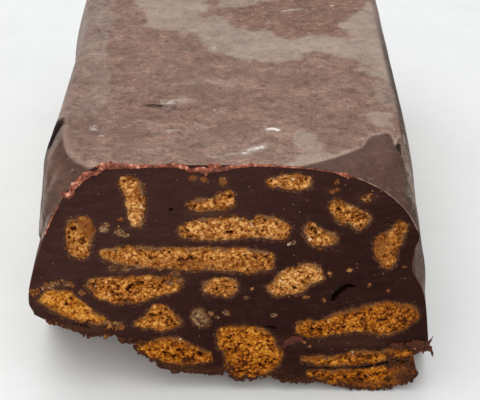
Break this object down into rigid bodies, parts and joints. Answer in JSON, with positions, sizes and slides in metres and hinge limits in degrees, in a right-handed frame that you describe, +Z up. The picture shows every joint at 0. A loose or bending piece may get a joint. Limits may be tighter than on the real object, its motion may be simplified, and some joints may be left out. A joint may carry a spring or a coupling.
{
  "type": "no-bake biscuit cake",
  "caption": "Loaf of dark chocolate set round broken biscuits, turned out of a tapered tin, flat on top, with its front end cut off square.",
  "frame": {"origin": "centre of the bounding box's bottom face, on the surface the cake stands on", "axes": "+Z up, +Y along the loaf from the cut to the far end, +X to the right of someone facing the cut"},
  "size_m": [0.117, 0.194, 0.075],
  "materials": {
    "chocolate": "matte skin, waxy where cut",
    "biscuit": "porous, matte"
  },
  "bodies": {
    "root": {"chocolate_loaf": "chocolate", "biscuit_upper_left": "biscuit", "biscuit_left_edge": "biscuit", "biscuit_long_lower": "biscuit", "biscuit_long_upper": "biscuit", "biscuit_above_bar": "biscuit", "biscuit_top": "biscuit", "biscuit_slanting": "biscuit", "biscuit_beside_bar": "biscuit", "biscuit_right_edge": "biscuit", "biscuit_leaning": "biscuit", "biscuit_centre": "biscuit", "biscuit_lens": "biscuit", "biscuit_base_left": "biscuit", "biscuit_wedge": "biscuit", "biscuit_dull_chip": "biscuit", "biscuit_base_lens": "biscuit", "biscuit_base_centre": "biscuit", "biscuit_lower_right": "biscuit", "biscuit_base_right_upper": "biscuit", "biscuit_base_right_lower": "biscuit", "underside_biscuit_1": "biscuit", "underside_biscuit_2": "biscuit", "underside_biscuit_3": "biscuit", "underside_biscuit_4": "biscuit", "underside_biscuit_5": "biscuit"}
  },
  "joints": []
}
